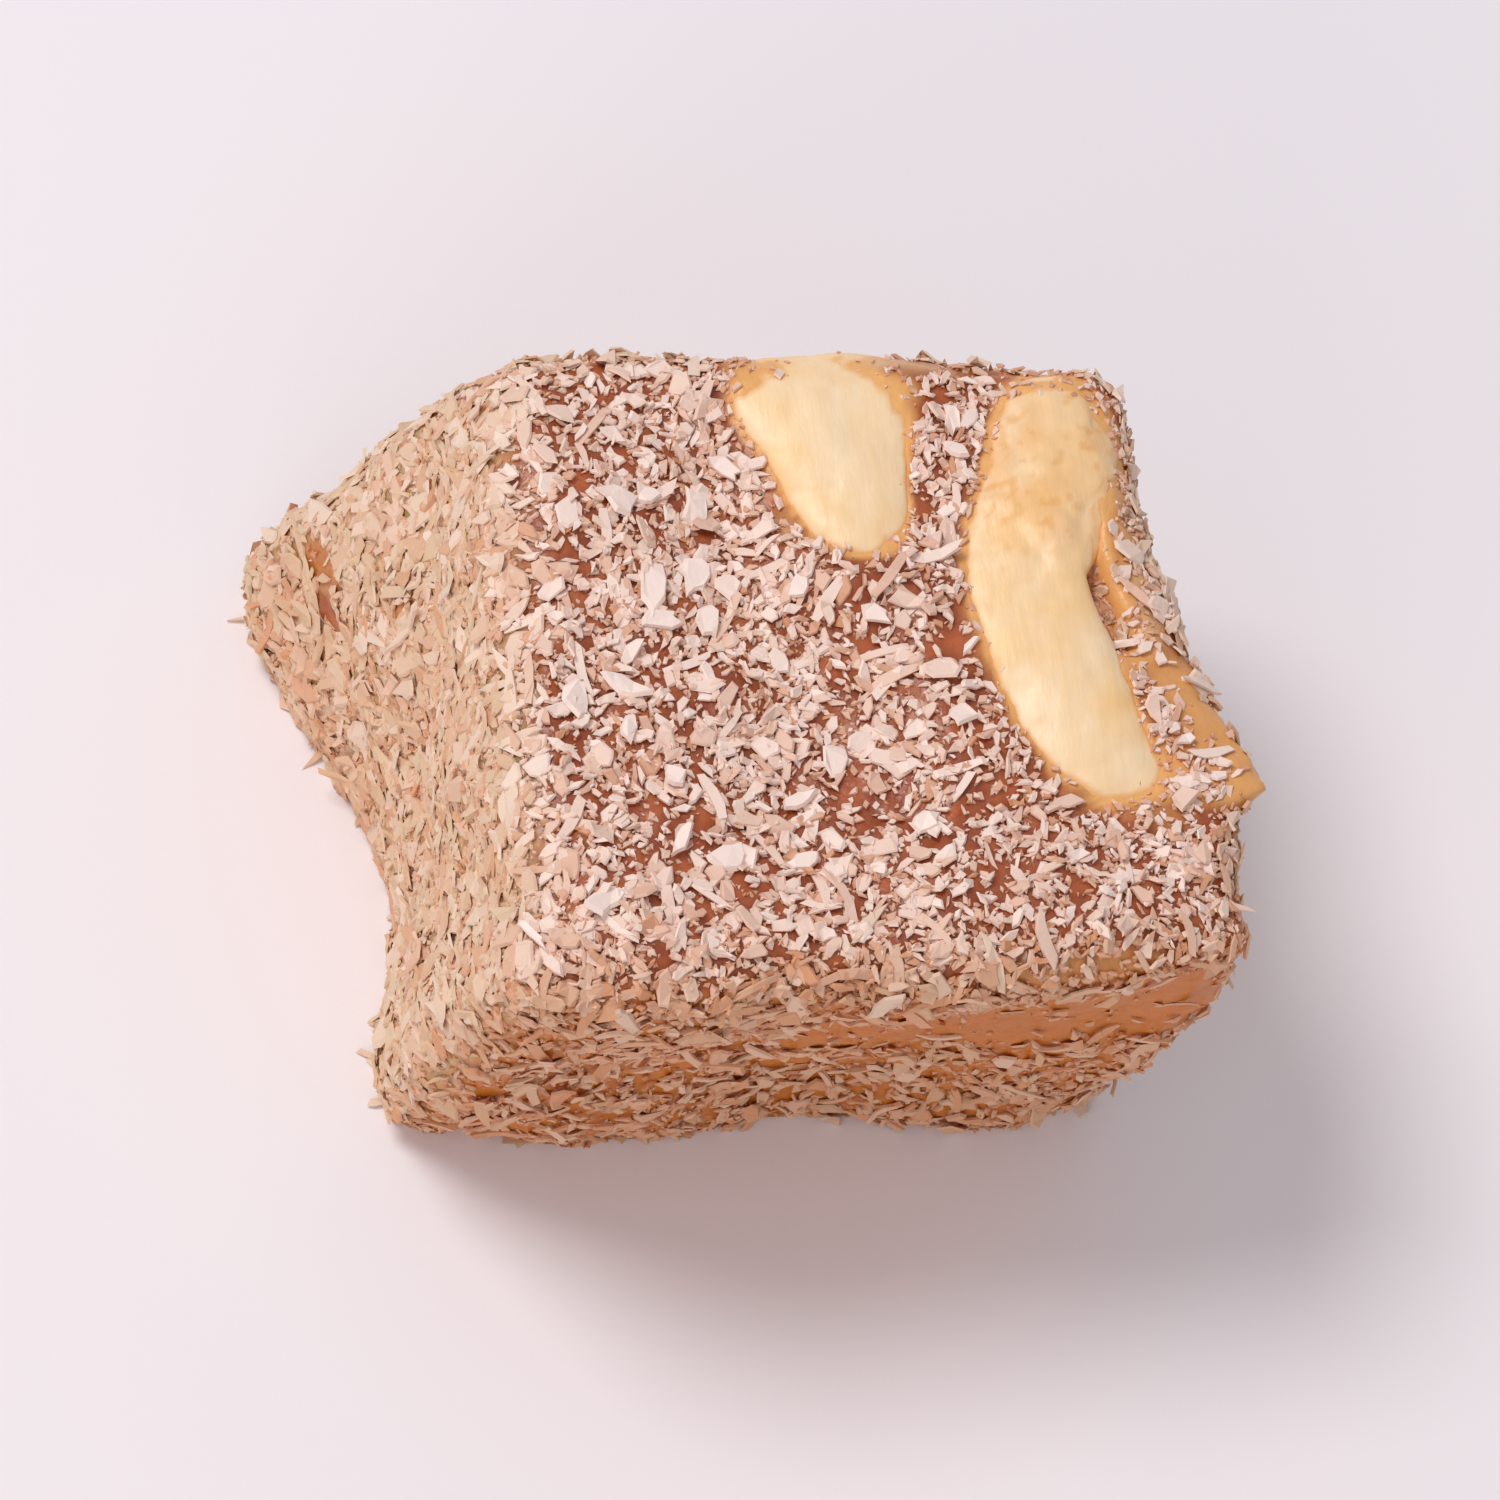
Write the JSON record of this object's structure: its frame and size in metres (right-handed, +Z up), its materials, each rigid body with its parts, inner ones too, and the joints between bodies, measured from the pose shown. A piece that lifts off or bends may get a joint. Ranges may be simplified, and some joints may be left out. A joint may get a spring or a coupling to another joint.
{
  "type": "turkish delight cube",
  "caption": "Soft, slightly uneven cube of amber jelly sweet rolled in grated coconut, with pieces of hazelnut showing at its faces and a flat base it rests on.",
  "frame": {"origin": "on the base plane, under the middle of the whole cube", "axes": "+Z up out of the top face, -Y out of the front face, +X towards the side where the half nut shows"},
  "size_m": [0.0328, 0.0283, 0.0218],
  "materials": {
    "coconut_jelly": "amber jelly under a rough coat of cream-white coconut flakes",
    "hazelnut": "smooth cream nut kernel with a waxy sheen"
  },
  "bodies": {
    "root": {"coconut_jelly_cube": "coconut_jelly", "hazelnut_wedge": "hazelnut", "hazelnut_crescent": "hazelnut", "hazelnut_half": "hazelnut", "hazelnut_back": "hazelnut"}
  },
  "joints": []
}
